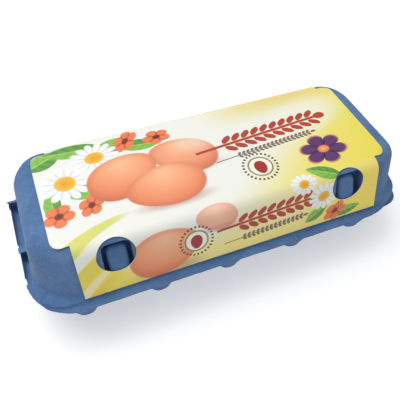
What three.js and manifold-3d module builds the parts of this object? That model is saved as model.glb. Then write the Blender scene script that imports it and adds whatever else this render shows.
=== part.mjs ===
// A shut moulded-pulp carton for ten eggs, with a printed paper label round its lid.
// Millimetres, +Z up, +X along the carton, +Y towards the hinge at the back.
// The origin is on the surface that the cups stand on, under the middle of the rim.

import * as THREE from 'three';
import { mergeVertices } from 'three/addons/utils/BufferGeometryUtils.js';
import Module from 'manifold-3d';

const wasm = await Module();
wasm.setup();

const DEGREE = Math.PI / 180;

// Whole carton
const LENGTH = 258;
const DEPTH = 107;
const HEIGHT = 69;
const GAP = 0.3;

// Paper label
const PAPER = 0.35;
const LABEL_TOP_HALF = 106.5;
const LABEL_WALL_HALF = 96.8;
const LABEL_CORNER = 6;
const LABEL_STEP = 0.4;
const LABEL_FRONT_DROP = 26.4;
const LABEL_BACK_DROP = 22;
const LATCH_X = 74.4;
const LABEL_HOLE = 22.4;
const LABEL_HOLE_START = 2.5;
const HOLE_STEPS = 20;
const EAR_TURNS = [90, 67.5, 45, 22.5, 0];
const BEND_LEVELS = [0.25, 0.5, 0.75, 1];

// Lid
const LID_TOP = HEIGHT - PAPER - GAP;
const RIM_TOP = 34.6;
const FLANGE = 1.2;
const LID_BASE = RIM_TOP - FLANGE;
const CREASE_FRONT = -32.45;
const CREASE_BACK = 39.95;
const SKIN = PAPER + GAP;
const FRONT = { lean: 17 * DEGREE, radius: 8.8 - SKIN };
const BACK = { lean: 6 * DEGREE, radius: 7.6 - SKIN };
const END = { lean: 6 * DEGREE, radius: 11 };
const END_FLAT_HALF = 108.9;
const LID_CORNERS = [28.5, 23, 23, 31];
const LOW_LEDGE = { bottom: 36.4, top: 37.8, swell: 7, fade: 2, waistCut: 0 };
const HIGH_LEDGE = { bottom: 40, top: 43.2, swell: 3.8, fade: 3, waistCut: 0.8 };
const TOP_CUT = 2.2;
const WALL_LEVELS = [0, 0.07, 0.095, 0.12, 0.19, 0.225, 0.265, 0.31, 0.36, 0.5, 0.68, 0.85, 1];
const EDGE_LEVELS = [0.2, 0.4, 0.6, 0.8, 1];
const LID_CORNER_STEPS = 12;

// Rim outline, a little shorter along its front than along its back
const RIM_HALF = LENGTH / 2;
const RIM_FRONT_HALF = 126;
const RIM_FRONT = -DEPTH / 2;
const RIM_BACK = DEPTH / 2;
const RIM_CORNERS = [38, 12, 12, 28.5];
const RIM_CORNER_STEPS = 12;
const TRAY_SETBACK = 0.7;

// End notches in the rim, from the back of the carton to the front
const NOTCHES = [
  { back: 39.5, front: 2.2, tuck: 1.2 },
  { back: -2.2, front: -25, tuck: 1.6 },
];
const NOTCH_INNER = 122.6;
const NOTCH_DEEP = 8;
const NOTCH_SHALLOW = 1.5;
const LIP_EDGE = 0.4;
const LIP_FOOT = 2;
const EAR_BACK = 42;
const EAR_INNER = 123;
const END_BAR_DEPTH = 9.5;
const END_BAR_SETBACK = 0.1;
const END_BAR_INNER = 118;
const END_BAR_FRONT = -27;
const END_BAR_BACK = 44;

// Tray and its cups
const TRAY_TOP = LID_BASE - GAP;
const TRAY_FLANGE_BOTTOM = TRAY_TOP - FLANGE;
const COLUMNS = 5;
const CUP_PITCH = 49;
const ROW_Y = 24.4;
const CUP_MOUTH = { x: 24.4, y: 24.6 };
const CUP_FOOT = { x: 9, y: 15 };
const CUP_FLARE = 1.1;
const FOOT_SQUARENESS = 2.6;
const MOUTH_SQUARENESS = 3.8;
const FOOT_FILLET = 3;
const FOOT_TURNS = [0, 30, 60];
const CUP_SIDES = 28;
const CUP_LEVELS = 5;
const WEB_BOTTOM = 23;
const WEB_HALF = 120.5;
const WEB_HALF_DEPTH = 47;
const WEB_CORNER = 20;
const WEB_CORNER_STEPS = 8;
const WEB_TAPER = 2;
const POST_MOUTH = 8.5;
const POST_TIP = 3;
const POST_DEPTH = 7;
const HINGE_HALF = 104;
const HINGE_THICK = 1;

// Latches
const LATCH_SHIFT = 0.8;
const OPENING_WIDTH = 16.8;
const OPENING_CORNER = 4;
const OPENING_START = 4;
const OPENING_END = 29;
const OPENING_DEPTH = 9;
const LIP_END = 8.5;
const LIP_DEPTH = 2;
const TAB_WIDTH = 12.2;
const TAB_START = 9;
const TAB_SINK = 0.8;
const TAB_CORNER = 3;
const TAB_BEVEL = 1.5;
const LATCH_CORNER_STEPS = 5;

// How far a cutter runs past the face that it cuts, and how close points are joined
const PAST = 5;
const JOIN_WITHIN = 1e-4;

// Colours
const PULP = { color: 0x5f80ad, roughness: 0.95, metalness: 0 };
const PAPER_FINISH = { color: 0xe9e3a2, roughness: 0.5, metalness: 0 };

// Boolean helpers
function solidOf(geometry) {
  const bare = geometry.clone();
  bare.deleteAttribute('normal');
  bare.deleteAttribute('uv');
  const merged = mergeVertices(bare, JOIN_WITHIN);
  return new wasm.Manifold(new wasm.Mesh({
    numProp: 3,
    vertProperties: new Float32Array(merged.attributes.position.array),
    triVerts: new Uint32Array(merged.index.array),
  }));
}

function geometryOf(solid) {
  const mesh = solid.getMesh();
  const geometry = new THREE.BufferGeometry();
  geometry.setAttribute('position', new THREE.BufferAttribute(mesh.vertProperties, 3));
  geometry.setIndex(new THREE.BufferAttribute(mesh.triVerts, 1));
  geometry.computeVertexNormals();
  return geometry;
}

function meshOf(name, solid, finish) {
  const mesh = new THREE.Mesh(geometryOf(solid), new THREE.MeshStandardMaterial(finish));
  mesh.name = name;
  return mesh;
}

function box(x0, x1, y0, y1, z0, z1) {
  const geometry = new THREE.BoxGeometry(x1 - x0, y1 - y0, z1 - z0);
  geometry.translate((x0 + x1) / 2, (y0 + y1) / 2, (z0 + z1) / 2);
  return solidOf(geometry);
}

// A box at one end of the carton, from a distance out from the middle to past the rim
function endBox(sign, inner, y0, y1, z0, z1) {
  const outer = RIM_HALF + PAST;
  return sign > 0 ? box(inner, outer, y0, y1, z0, z1) : box(-outer, -inner, y0, y1, z0, z1);
}

// A closed skin over rings of points that run anticlockwise seen from above, lowest ring first.
function loft(rings) {
  const count = rings[0].length;
  const positions = [];
  const index = [];
  for (const ring of rings) {
    for (const point of ring) positions.push(point.x, point.y, point.z);
  }
  for (let r = 0; r < rings.length - 1; r += 1) {
    for (let i = 0; i < count; i += 1) {
      const j = (i + 1) % count;
      const a = r * count + i;
      const b = r * count + j;
      index.push(a, b, b + count, a, b + count, a + count);
    }
  }
  for (const [r, upward] of [[0, false], [rings.length - 1, true]]) {
    const centre = new THREE.Vector3();
    for (const point of rings[r]) centre.add(point);
    centre.divideScalar(count);
    const hub = positions.length / 3;
    positions.push(centre.x, centre.y, centre.z);
    for (let i = 0; i < count; i += 1) {
      const a = r * count + i;
      const b = r * count + ((i + 1) % count);
      if (upward) index.push(a, b, hub);
      else index.push(b, a, hub);
    }
  }
  const geometry = new THREE.BufferGeometry();
  geometry.setAttribute('position', new THREE.Float32BufferAttribute(positions, 3));
  geometry.setIndex(index);
  return solidOf(geometry);
}

// Outline of a rectangle with round corners, anticlockwise, each point with its outward direction.
// The four radii start at the corner at +X and the front.
function roundedRectangle(half, front, back, radii, steps) {
  const [rightFront, rightBack, leftBack, leftFront] = radii;
  const centres = [
    { x: half - rightFront, y: front + rightFront },
    { x: half - rightBack, y: back - rightBack },
    { x: -half + leftBack, y: back - leftBack },
    { x: -half + leftFront, y: front + leftFront },
  ];
  const points = [];
  centres.forEach((centre, corner) => {
    for (let i = 0; i <= steps; i += 1) {
      const angle = (corner - 1 + i / steps) * 90 * DEGREE;
      const nx = Math.cos(angle);
      const ny = Math.sin(angle);
      points.push({ x: centre.x + radii[corner] * nx, y: centre.y + radii[corner] * ny, nx, ny });
    }
  });
  return points;
}

function ringAt(outline, z, inset = 0) {
  return outline.map((p) => new THREE.Vector3(p.x - p.nx * inset, p.y - p.ny * inset, z));
}

function ramp(low, high, value) {
  return Math.min(1, Math.max(0, (value - low) / (high - low)));
}

// Lid: sloping walls, a round top edge, and at each corner a crescent ledge low on the wall
const wallTop = (side) => LID_TOP - side.radius * (1 - Math.sin(side.lean));
const wallInset = (side) => (wallTop(side) - RIM_TOP) * Math.tan(side.lean);
const totalInset = (side) => wallInset(side) + side.radius * Math.cos(side.lean);
const LID_HALF = END_FLAT_HALF + totalInset(END);
const LID_FRONT = CREASE_FRONT - totalInset(FRONT);
const LID_BACK = CREASE_BACK + totalInset(BACK);

function sideAt(point) {
  const across = point.ny < 0 ? FRONT : BACK;
  const share = point.nx * point.nx;
  return {
    lean: END.lean * share + across.lean * (1 - share),
    radius: END.radius * share + across.radius * (1 - share),
  };
}

// The corners swell below a crescent ledge, and the front ones are cut back towards the top.
// The ledge at the front left corner lies lower and wider than the others.
function cornerInset(point, z) {
  const ledge = point.nx < 0 && point.ny < 0 ? LOW_LEDGE : HIGH_LEDGE;
  const corner = Math.abs(2 * point.nx * point.ny) ** ledge.fade;
  const above = ramp(ledge.bottom, ledge.top, z);
  const frontCut = ledge.waistCut + (TOP_CUT - ledge.waistCut) * ramp(ledge.top, LID_TOP, z);
  const cut = point.ny < 0 ? frontCut : 0;
  return corner * (cut * above - ledge.swell * (1 - above));
}

function wallRing(outline, share) {
  return outline.map((p) => {
    const side = sideAt(p);
    const z = RIM_TOP + (wallTop(side) - RIM_TOP) * share;
    const inset = (z - RIM_TOP) * Math.tan(side.lean) + cornerInset(p, z);
    return new THREE.Vector3(p.x - p.nx * inset, p.y - p.ny * inset, z);
  });
}

function edgeRing(outline, share) {
  return outline.map((p) => {
    const side = sideAt(p);
    const angle = side.lean + (Math.PI / 2 - side.lean) * share;
    const z = LID_TOP - side.radius * (1 - Math.sin(angle));
    const round = side.radius * (Math.cos(side.lean) - Math.cos(angle));
    const inset = wallInset(side) + round + cornerInset(p, z);
    return new THREE.Vector3(p.x - p.nx * inset, p.y - p.ny * inset, z);
  });
}

function lidBody() {
  const outline = roundedRectangle(LID_HALF, LID_FRONT, LID_BACK, LID_CORNERS, LID_CORNER_STEPS);
  const base = wallRing(outline, 0).map((point) => point.clone().setZ(LID_BASE));
  const wall = WALL_LEVELS.map((share) => wallRing(outline, share));
  const edge = EDGE_LEVELS.map((share) => edgeRing(outline, share));
  return loft([base, ...wall, ...edge]);
}

function rimOutline(setback) {
  const outline = roundedRectangle(RIM_HALF - setback, RIM_FRONT + setback, RIM_BACK - setback,
    RIM_CORNERS.map((radius) => radius - setback), RIM_CORNER_STEPS);
  const narrowing = (RIM_HALF - RIM_FRONT_HALF) / RIM_HALF;
  return outline.map((p) => ({ ...p, x: p.x * (1 - narrowing * ((RIM_BACK - p.y) / DEPTH)) }));
}

function rimPlate(bottom, top, setback) {
  const outline = rimOutline(setback);
  return loft([ringAt(outline, bottom), ringAt(outline, top)]);
}

// The room inside a thin lip along the edge of the end bars. The lip's inner face slopes.
function insideLip() {
  const outline = rimOutline(END_BAR_SETBACK);
  return loft([
    ringAt(outline, TRAY_TOP - NOTCH_DEEP - GAP, LIP_FOOT),
    ringAt(outline, TRAY_TOP, LIP_EDGE),
    ringAt(outline, TRAY_TOP + PAST, LIP_EDGE),
  ]);
}

// The front wall's own frame: v runs down the wall from the crease, out points away from it
const FRONT_ARC = (Math.PI / 2 - FRONT.lean) * (FRONT.radius + SKIN);

function sectionPoint(side, crease, sign, run, lift) {
  const radius = side.radius + SKIN;
  const arc = (Math.PI / 2 - side.lean) * radius;
  const turned = Math.min(Math.max(run, 0), arc) / radius;
  const ny = Math.sin(turned) * sign;
  const nz = Math.cos(turned);
  let y = crease + radius * ny;
  let z = HEIGHT - radius * (1 - nz);
  if (run < 0) y += run * sign;
  if (run > arc) {
    y += (run - arc) * nz * sign;
    z -= (run - arc) * Math.abs(ny);
  }
  return { y: y + ny * lift, z: z + nz * lift };
}

function onFrontWall(x, run, lift) {
  const wallStart = sectionPoint(FRONT, CREASE_FRONT, -1, FRONT_ARC, 0);
  const along = run - FRONT_ARC;
  const down = { y: -Math.sin(FRONT.lean), z: -Math.cos(FRONT.lean) };
  const out = { y: -Math.cos(FRONT.lean), z: Math.sin(FRONT.lean) };
  return new THREE.Vector3(x, wallStart.y + down.y * along + out.y * lift,
    wallStart.z + down.z * along + out.z * lift);
}

// A block with round corners set square to the front wall, between two depths below the label
function wallBlock(x, width, runStart, runEnd, corner, deep, high, bevel = 0) {
  const outline = roundedRectangle(width / 2, -runEnd, -runStart, Array(4).fill(corner), LATCH_CORNER_STEPS);
  const rings = [{ inset: 0, lift: -deep }];
  for (const turn of bevel > 0 ? [0, 45, 90] : [0]) {
    rings.push({
      inset: bevel * (1 - Math.cos(turn * DEGREE)),
      lift: -high - bevel * (1 - Math.sin(turn * DEGREE)),
    });
  }
  return loft(rings.map(({ inset, lift }) => outline.map((p) => (
    onFrontWall(x + p.x - p.nx * inset, -(p.y - p.ny * inset), lift)))));
}

// Behind its last ear the rim is shorter
function earCut(sign) {
  return endBox(sign, EAR_INNER, EAR_BACK, RIM_BACK + PAST, 0, RIM_TOP + PAST);
}

function hingeStrip(clearance) {
  return box(-HINGE_HALF - clearance, HINGE_HALF + clearance, RIM_BACK - HINGE_THICK - clearance,
    RIM_BACK + clearance, TRAY_FLANGE_BOTTOM - clearance, RIM_TOP + clearance);
}

function makeLid() {
  let lid = lidBody().add(rimPlate(LID_BASE, RIM_TOP, 0)).subtract(hingeStrip(GAP));
  for (const sign of [-1, 1]) {
    lid = lid.subtract(earCut(sign));
    for (const notch of NOTCHES) {
      lid = lid.subtract(endBox(sign, NOTCH_INNER, notch.front, notch.back, LID_BASE - PAST, RIM_TOP));
    }
    lid = lid.subtract(wallBlock(sign * LATCH_X + LATCH_SHIFT, OPENING_WIDTH, OPENING_START, OPENING_END,
      OPENING_CORNER, LIP_DEPTH, -PAST));
    lid = lid.subtract(wallBlock(sign * LATCH_X + LATCH_SHIFT, OPENING_WIDTH, LIP_END, OPENING_END,
      OPENING_CORNER, OPENING_DEPTH, 0));
  }
  return meshOf('lid', lid, PULP);
}

function makeLatchTab(name, sign) {
  const tab = wallBlock(sign * LATCH_X + LATCH_SHIFT, TAB_WIDTH, TAB_START, OPENING_END - GAP, TAB_CORNER,
    OPENING_DEPTH - GAP, TAB_SINK, TAB_BEVEL);
  return meshOf(name, tab, PULP);
}

// Tray: a flat rim, a shallow web, ten cups and the hollows of the posts between them
function cupRing(x, y, z, halfX, halfY, power) {
  const ring = [];
  for (let i = 0; i < CUP_SIDES; i += 1) {
    const angle = (2 * Math.PI * i) / CUP_SIDES;
    const c = Math.cos(angle);
    const s = Math.sin(angle);
    const reach = (Math.abs(c) ** power + Math.abs(s) ** power) ** (-1 / power);
    ring.push(new THREE.Vector3(x + halfX * c * reach, y + halfY * s * reach, z));
  }
  return ring;
}

function makeCup(x, y) {
  const rings = [];
  for (const turn of FOOT_TURNS) {
    const inset = FOOT_FILLET * (1 - Math.sin(turn * DEGREE));
    const z = FOOT_FILLET * (1 - Math.cos(turn * DEGREE));
    rings.push(cupRing(x, y, z, CUP_FOOT.x - inset, CUP_FOOT.y - inset, FOOT_SQUARENESS));
  }
  for (let i = 0; i <= CUP_LEVELS; i += 1) {
    const share = i / CUP_LEVELS;
    const grow = share ** CUP_FLARE;
    const squareness = FOOT_SQUARENESS + (MOUTH_SQUARENESS - FOOT_SQUARENESS) * share;
    const z = FOOT_FILLET + (TRAY_FLANGE_BOTTOM + FLANGE / 2 - FOOT_FILLET) * share;
    const halfX = CUP_FOOT.x + (CUP_MOUTH.x - CUP_FOOT.x) * grow;
    const halfY = CUP_FOOT.y + (CUP_MOUTH.y - CUP_FOOT.y) * grow;
    rings.push(cupRing(x, y, z, halfX, halfY, squareness));
  }
  return loft(rings);
}

function makeWeb() {
  const outline = roundedRectangle(WEB_HALF + WEB_TAPER, -WEB_HALF_DEPTH - WEB_TAPER,
    WEB_HALF_DEPTH + WEB_TAPER, Array(4).fill(WEB_CORNER), WEB_CORNER_STEPS);
  return loft([ringAt(outline, WEB_BOTTOM, WEB_TAPER), ringAt(outline, TRAY_TOP - FLANGE / 2)]);
}

function makePostHollow(x) {
  const cone = new THREE.CylinderGeometry(POST_TIP, POST_MOUTH, POST_DEPTH, CUP_SIDES);
  cone.rotateX(Math.PI / 2);
  cone.translate(x, 0, WEB_BOTTOM + POST_DEPTH / 2);
  return solidOf(cone);
}

function rampCut(sign, notch) {
  const back = notch.back + notch.tuck;
  const profile = new THREE.Shape();
  profile.moveTo(notch.front, TRAY_TOP + PAST);
  profile.lineTo(notch.front, TRAY_TOP - NOTCH_SHALLOW);
  profile.lineTo(back, TRAY_TOP - NOTCH_DEEP);
  profile.lineTo(back, TRAY_TOP + PAST);
  const run = RIM_HALF + PAST - NOTCH_INNER;
  const wedge = new THREE.ExtrudeGeometry(profile, { depth: run, bevelEnabled: false });
  wedge.applyMatrix4(new THREE.Matrix4().set(
    0, 0, 1, sign > 0 ? NOTCH_INNER : -NOTCH_INNER - run,
    1, 0, 0, 0,
    0, 1, 0, 0,
    0, 0, 0, 1,
  ));
  return solidOf(wedge).intersect(insideLip());
}

function makeTray() {
  let tray = rimPlate(TRAY_FLANGE_BOTTOM, TRAY_TOP, TRAY_SETBACK).add(makeWeb()).add(hingeStrip(0));
  const deepRim = rimPlate(TRAY_TOP - END_BAR_DEPTH, TRAY_TOP, END_BAR_SETBACK);
  for (const sign of [-1, 1]) {
    const span = endBox(sign, END_BAR_INNER, END_BAR_FRONT, END_BAR_BACK, 0, TRAY_TOP);
    tray = tray.add(deepRim.intersect(span)).subtract(earCut(sign));
    for (const notch of NOTCHES) tray = tray.subtract(rampCut(sign, notch));
  }
  for (let column = 0; column < COLUMNS; column += 1) {
    const x = (column - (COLUMNS - 1) / 2) * CUP_PITCH;
    for (const row of [-ROW_Y, ROW_Y]) tray = tray.add(makeCup(x, row));
  }
  for (let column = 0; column < COLUMNS - 1; column += 1) {
    tray = tray.subtract(makePostHollow((column - (COLUMNS - 2) / 2) * CUP_PITCH));
  }
  return meshOf('tray', tray, PULP);
}

// Label: one sheet of paper over the top, bent down the front and the back
const BACK_ARC = (Math.PI / 2 - BACK.lean) * (BACK.radius + SKIN);

function labelRow(backSide, run, half, hole = 0) {
  const side = backSide ? BACK : FRONT;
  const crease = backSide ? CREASE_BACK : CREASE_FRONT;
  return { side, crease, sign: backSide ? 1 : -1, run, half, hole };
}

// The top panel is longer than the walls' panels, with a round ear at each of its corners.
function earRows(backSide) {
  const rows = [labelRow(backSide, LABEL_STEP, LABEL_WALL_HALF)];
  for (const turn of EAR_TURNS) {
    const run = -LABEL_CORNER * (1 - Math.sin(turn * DEGREE));
    const half = LABEL_TOP_HALF - LABEL_CORNER * (1 - Math.cos(turn * DEGREE));
    rows.push(labelRow(backSide, run, half));
  }
  return rows;
}

function holeRows() {
  const rows = [];
  for (let i = 0; i <= HOLE_STEPS; i += 1) {
    const angle = (Math.PI * i) / HOLE_STEPS;
    const run = LABEL_HOLE_START + (LABEL_HOLE / 2) * (1 + Math.cos(angle));
    const hole = i === 0 || i === HOLE_STEPS ? 0 : (LABEL_HOLE / 2) * Math.sin(angle);
    rows.push(labelRow(false, run, LABEL_WALL_HALF, hole));
  }
  return rows;
}

function labelRows() {
  const rows = [labelRow(false, FRONT_ARC + LABEL_FRONT_DROP, LABEL_WALL_HALF), ...holeRows()];
  rows.push(...earRows(false), ...earRows(true).reverse());
  for (const share of BEND_LEVELS) rows.push(labelRow(true, BACK_ARC * share, LABEL_WALL_HALF));
  rows.push(labelRow(true, BACK_ARC + LABEL_BACK_DROP, LABEL_WALL_HALF));
  return rows;
}

function makeLabel() {
  const rows = labelRows();
  const positions = [];
  const index = [];
  const at = (row, x, lift) => {
    const point = sectionPoint(row.side, row.crease, row.sign, row.run, lift);
    positions.push(x, point.y, point.z);
    return positions.length / 3 - 1;
  };
  const quad = (a, b, c, d) => index.push(a, b, c, a, c, d);
  const breaks = (row) => [-row.half, -LATCH_X - row.hole, -LATCH_X + row.hole,
    LATCH_X - row.hole, LATCH_X + row.hole, row.half];
  for (let r = 0; r < rows.length - 1; r += 1) {
    const low = rows[r];
    const high = rows[r + 1];
    const pierced = low.hole > 0 || high.hole > 0;
    for (const cell of [0, 2, 4]) {
      const corners = [[low, cell], [low, cell + 1], [high, cell + 1], [high, cell]];
      const outer = corners.map(([row, place]) => at(row, breaks(row)[place], 0));
      const inner = corners.map(([row, place]) => at(row, breaks(row)[place], -PAPER));
      quad(outer[0], outer[1], outer[2], outer[3]);
      quad(inner[3], inner[2], inner[1], inner[0]);
      if (cell === 0 || pierced) quad(outer[3], inner[3], inner[0], outer[0]);
      if (cell === 4 || pierced) quad(outer[1], inner[1], inner[2], outer[2]);
      if (r === 0) quad(outer[0], inner[0], inner[1], outer[1]);
      if (r === rows.length - 2) quad(outer[2], inner[2], inner[3], outer[3]);
    }
  }
  const geometry = new THREE.BufferGeometry();
  geometry.setAttribute('position', new THREE.Float32BufferAttribute(positions, 3));
  geometry.setIndex(index);
  return meshOf('label', solidOf(geometry), PAPER_FINISH);
}

const carton = new THREE.Group();
carton.add(makeTray());
carton.add(makeLid());
carton.add(makeLatchTab('latch_tab_left', -1));
carton.add(makeLatchTab('latch_tab_right', 1));
carton.add(makeLabel());

export default carton;
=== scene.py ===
"""Blender looks for a shut moulded-pulp egg carton with a printed paper label.

The shapes repeat the carton's own formulas in millimetres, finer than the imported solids,
and become metres when a mesh is made.
"""

import math

import bpy
import numpy as np
from mathutils import Matrix, Vector, noise


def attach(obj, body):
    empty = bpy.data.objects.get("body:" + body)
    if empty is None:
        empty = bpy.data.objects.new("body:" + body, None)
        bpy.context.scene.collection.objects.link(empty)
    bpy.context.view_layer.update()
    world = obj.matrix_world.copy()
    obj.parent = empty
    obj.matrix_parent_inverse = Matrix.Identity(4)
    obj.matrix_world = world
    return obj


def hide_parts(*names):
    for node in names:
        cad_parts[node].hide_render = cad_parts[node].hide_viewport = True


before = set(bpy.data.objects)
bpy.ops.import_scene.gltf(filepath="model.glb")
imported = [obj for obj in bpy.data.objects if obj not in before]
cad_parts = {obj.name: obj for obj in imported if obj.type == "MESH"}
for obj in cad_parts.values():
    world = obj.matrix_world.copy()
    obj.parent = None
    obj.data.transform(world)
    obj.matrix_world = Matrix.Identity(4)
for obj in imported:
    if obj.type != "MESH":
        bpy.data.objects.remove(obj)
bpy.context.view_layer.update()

MM = 0.001
DEGREE = math.pi / 180

# Whole carton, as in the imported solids
LENGTH = 258
DEPTH = 107
HEIGHT = 69
GAP = 0.3

# Label
PAPER = 0.35
LABEL_TOP_HALF = 106.5
LABEL_WALL_HALF = 96.8
LABEL_CORNER = 6
LABEL_FRONT_DROP = 26.4
LABEL_BACK_DROP = 22
LATCH_X = 74.4
LABEL_HOLE = 22.4
LABEL_HOLE_START = 2.5
SLIT = {"x": 68.6, "run": 26.4, "length": 4.2, "width": 0.5}
SHEET_CELL = 1.5
SHEET_WAVE = 0.16
BROAD_WAVE = {"x": 42, "t": 26, "seed": 0.4}
FINE_WAVE = {"x": 15, "t": 13, "seed": 7}
FINE_WAVE_SHARE = 0.5
DROOP_LIMIT = 0.7
SHARP_ANGLE = 40
HOLE_SIDES = 96
EAR_CORNER_TURN = 10

# Lid
LID_TOP = HEIGHT - PAPER - GAP
RIM_TOP = 34.6
FLANGE = 1.2
LID_BASE = RIM_TOP - FLANGE
CREASE_FRONT = -32.45
CREASE_BACK = 39.95
SKIN = PAPER + GAP
FRONT = {"lean": 17 * DEGREE, "radius": 8.8 - SKIN}
BACK = {"lean": 6 * DEGREE, "radius": 7.6 - SKIN}
END = {"lean": 6 * DEGREE, "radius": 11}
END_FLAT_HALF = 108.9
LID_CORNERS = (28.5, 23, 23, 31)
LOW_LEDGE = {"bottom": 36.4, "top": 37.8, "swell": 7, "fade": 2, "waist_cut": 0, "groove": 1.6,
             "softness": 0}
HIGH_LEDGE = {"bottom": 40, "top": 43.2, "swell": 3.8, "fade": 3, "waist_cut": 0.8, "groove": 0.6,
              "softness": 1}
TOP_CUT = 2.2
RIM_FILLET = 2
CORNER_FILLET_LOSS = 0.75
WALL_LEVELS = 44
EDGE_LEVELS = 12
LEVEL_CROWDING = 1.4

# Rim
RIM_HALF = LENGTH / 2
RIM_FRONT_HALF = 126
RIM_FRONT = -DEPTH / 2
RIM_BACK = DEPTH / 2
RIM_CORNERS = (38, 12, 12, 28.5)
RIM_GROWTH = 0.23
RIM_WAVE = 0.5
RIM_WAVE_LENGTH = 11
BAR_SETBACK = 0.45
TRAY_SETBACK = 0.5
CORNER_STEPS = 28
STRAIGHT_STEP = 4

# End notches and the bars below them
NOTCHES = (
    {"back": 39.5, "front": 2.2, "tuck": 1.2},
    {"back": -2.2, "front": -25, "tuck": 1.6},
)
NOTCH_INNER = 122.6
NOTCH_DEEP = 8
NOTCH_SHALLOW = 1.5
LIP_EDGE = 0.4
LIP_FOOT = 2
EAR_BACK = 42
EAR_INNER = 123
END_BAR_DEPTH = 9.5
END_BAR_INNER = 118
END_BAR_FRONT = -27
END_BAR_BACK = 44

# Tray
TRAY_TOP = LID_BASE - GAP
TRAY_FLANGE_BOTTOM = TRAY_TOP - FLANGE
COLUMNS = 5
CUP_PITCH = 49
ROW_Y = 24.4
CUP_MOUTH = (24.4, 24.6)
CUP_FOOT = (9, 15)
CUP_FLARE = 1.1
FOOT_SQUARENESS = 2.6
MOUTH_SQUARENESS = 3.8
FOOT_FILLET = 3
CUP_SIDES = 72
CUP_LEVELS = 14
WEB_BOTTOM = 23
WEB_HALF = 120.5
WEB_HALF_DEPTH = 47
WEB_CORNER = 20
WEB_TAPER = 2
POST_MOUTH = 8.5
POST_TIP = 3
POST_DEPTH = 7
HINGE_HALF = 104
HINGE_THICK = 1

# Latches
LATCH_SHIFT = 0.8
OPENING_WIDTH = 16.8
RIGHT_OPENING_EXTRA = 2.4
OPENING_CORNER = 4
OPENING_START = 4
OPENING_END = 29
OPENING_DEPTH = 9
LIP_END = 7
LIP_DEPTH = 2
TAB_WIDTH = 12.2
TAB_START = 9
TAB_SINK = 0.2
TAB_SLOPE = 0.15
TAB_CORNER = 4.8
TAB_BEVEL = 2.8

# How far a cutter runs past the face that it cuts
PAST = 5

# Degrees between the levels of a rounded foot or edge, and steps in a small block's corner
FILLET_TURN = 15
BLOCK_CORNER_STEPS = 10

# Pulp: the cells that it is remeshed in, its smoothing, and each relief layer's cell and depth
PULP_VOXEL = 0.72
TAB_VOXEL = 0.4
SMOOTH_FACTOR = 0.5
SMOOTH_ROUNDS = 2
PULP_LAYERS = ((14, 0.16), (4.5, 0.11), (1.9, 0.07))
RELIEF_SEEDS = {"tray": 5, "lid": 1, "latch_tab_left": 1, "latch_tab_right": 3}


# Mesh helpers

def new_object(name, mesh):
    obj = bpy.data.objects.new(name, mesh)
    bpy.context.scene.collection.objects.link(obj)
    return obj


def mesh_object(name, points, faces):
    """An object from points in millimetres."""
    mesh = bpy.data.meshes.new(name)
    mesh.from_pydata([(x * MM, y * MM, z * MM) for x, y, z in points], [], faces)
    mesh.update()
    return new_object(name, mesh)


def loft(name, rings):
    """A closed skin over rings that run anticlockwise seen from above, lowest ring first."""
    count = len(rings[0])
    points = [tuple(point) for ring in rings for point in ring]
    faces = [tuple(reversed(range(count)))]
    for low in range(len(rings) - 1):
        for i in range(count):
            j = (i + 1) % count
            a = low * count
            b = a + count
            faces.append((a + i, a + j, b + j, b + i))
    last = (len(rings) - 1) * count
    faces.append(tuple(range(last, last + count)))
    return mesh_object(name, points, faces)


def block(x0, x1, y0, y1, z0, z1):
    corners = [(x0, y0), (x1, y0), (x1, y1), (x0, y1)]
    return loft("block", [[(x, y, z) for x, y in corners] for z in (z0, z1)])


def end_block(sign, inner, y0, y1, z0, z1):
    outer = RIM_HALF + PAST
    ends = (inner, outer) if sign > 0 else (-outer, -inner)
    return block(ends[0], ends[1], y0, y1, z0, z1)


def bake_modifiers(obj):
    """Gives the object the mesh that its modifiers make, and takes them off."""
    graph = bpy.context.evaluated_depsgraph_get()
    mesh = bpy.data.meshes.new_from_object(obj.evaluated_get(graph))
    old = obj.data
    obj.modifiers.clear()
    obj.data = mesh
    bpy.data.meshes.remove(old)


def combine(obj, others, operation):
    """Joins, cuts or intersects the object with others, which are used up."""
    for other in others:
        modifier = obj.modifiers.new("combine", "BOOLEAN")
        modifier.operation = operation
        modifier.solver = "MANIFOLD"
        modifier.object = other
    bake_modifiers(obj)
    for other in others:
        bpy.data.objects.remove(other)
    return obj


def remesh(obj, voxel):
    modifier = obj.modifiers.new("remesh", "REMESH")
    modifier.mode = "VOXEL"
    modifier.voxel_size = voxel * MM
    modifier = obj.modifiers.new("round", "SMOOTH")
    modifier.factor = SMOOTH_FACTOR
    modifier.iterations = SMOOTH_ROUNDS
    bake_modifiers(obj)


def relief(obj, seed):
    """Pushes points inward along their normals by layers of noise."""
    mesh = obj.data
    count = len(mesh.vertices)
    places = np.empty(count * 3)
    normals = np.empty(count * 3)
    mesh.vertices.foreach_get("co", places)
    mesh.vertices.foreach_get("normal", normals)
    places = places.reshape(-1, 3)
    normals = normals.reshape(-1, 3)
    shift = np.zeros(count)
    offset = Vector((seed, seed * 2, seed * 3))
    for size, depth in PULP_LAYERS:
        step = 1 / (size * MM)
        values = [noise.noise(Vector(p) * step + offset) for p in places]
        shift += np.array(values) * depth * MM
    shift -= shift.max()
    mesh.vertices.foreach_set("co", (places + normals * shift[:, None]).ravel())
    mesh.update()


def shade_smooth(obj):
    obj.data.polygons.foreach_set("use_smooth", [True] * len(obj.data.polygons))


# Outlines

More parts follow.
